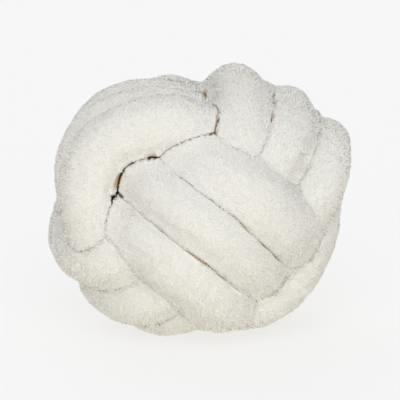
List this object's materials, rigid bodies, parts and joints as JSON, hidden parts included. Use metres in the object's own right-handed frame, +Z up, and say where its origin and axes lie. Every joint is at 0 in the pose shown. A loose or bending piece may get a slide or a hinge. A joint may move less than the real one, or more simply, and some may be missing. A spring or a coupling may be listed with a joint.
{
  "type": "knot cushion",
  "caption": "Ball-shaped knot cushion: a long stuffed tube of looped-pile cloth tied in bands that cross over each other, with a small flat spot to rest on.",
  "frame": {"origin": "on the floor, under the middle of the ball's bounding box", "axes": "+Z up, -Y towards the viewer of the picture, +X to the right in the picture; the ball is widest along X and lowest along Z"},
  "size_m": [0.2991, 0.2799, 0.2581],
  "materials": {
    "cloth": "ivory looped-pile cloth, matt"
  },
  "bodies": {
    "root": {"knot_cushion": "cloth"}
  },
  "joints": []
}
